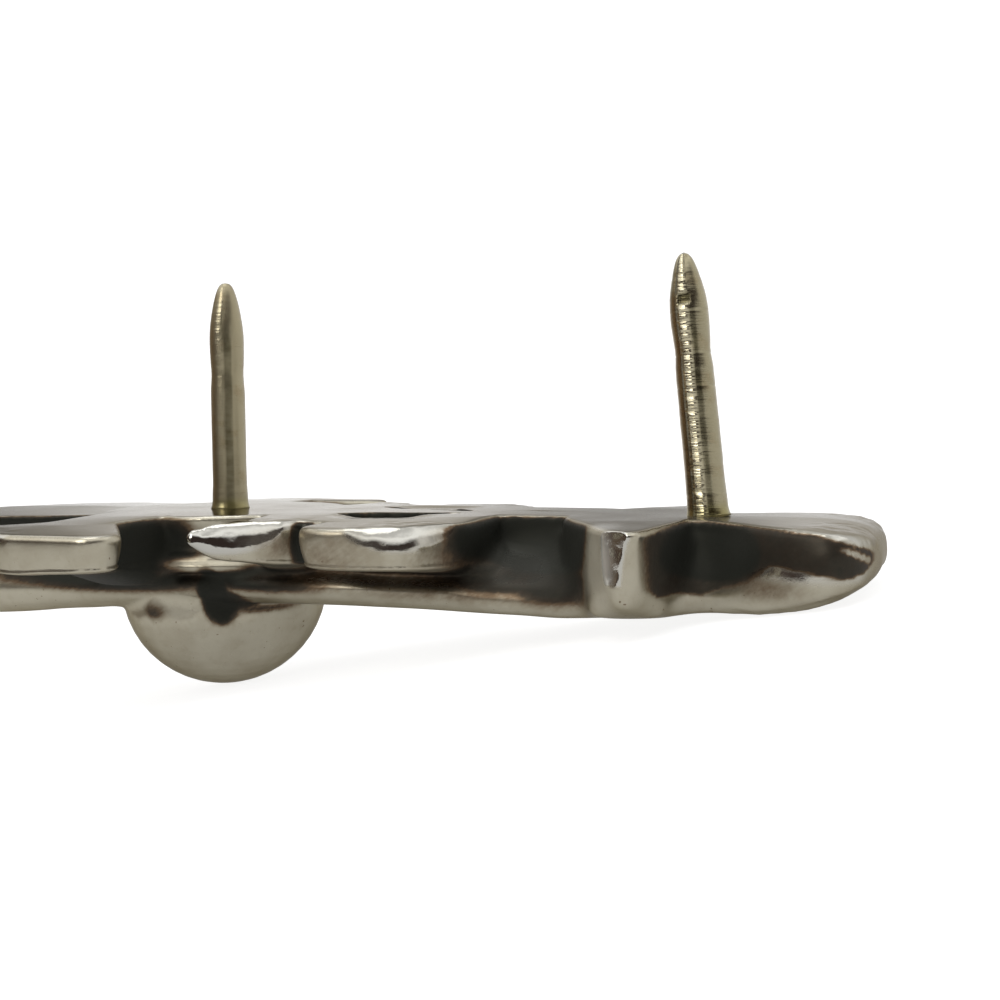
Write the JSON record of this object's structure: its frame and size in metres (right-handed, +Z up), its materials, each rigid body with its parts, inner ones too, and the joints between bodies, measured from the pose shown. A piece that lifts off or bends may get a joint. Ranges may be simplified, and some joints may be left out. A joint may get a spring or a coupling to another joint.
{
  "type": "stick pin",
  "caption": "Cast silver openwork pin with a half-ball front and two tack posts on its flat back, lying face down.",
  "frame": {"origin": "the middle of the bounding box's base, on the surface that the pin lies on", "axes": "+X along the pin from its short arm towards its long arm, -Y towards the viewer, +Z up. The flat back and the posts tip 10.7 degrees from +Z towards +X, because the pin rests on its half-ball and on the end of the long arm."},
  "size_m": [0.0326, 0.0182, 0.0135],
  "materials": {
    "silver": "polished silver with dark patina in the recesses",
    "post_metal": "bright drawn wire"
  },
  "bodies": {
    "root": {"ornament": "silver", "center_post": "post_metal", "end_post": "post_metal"}
  },
  "joints": []
}
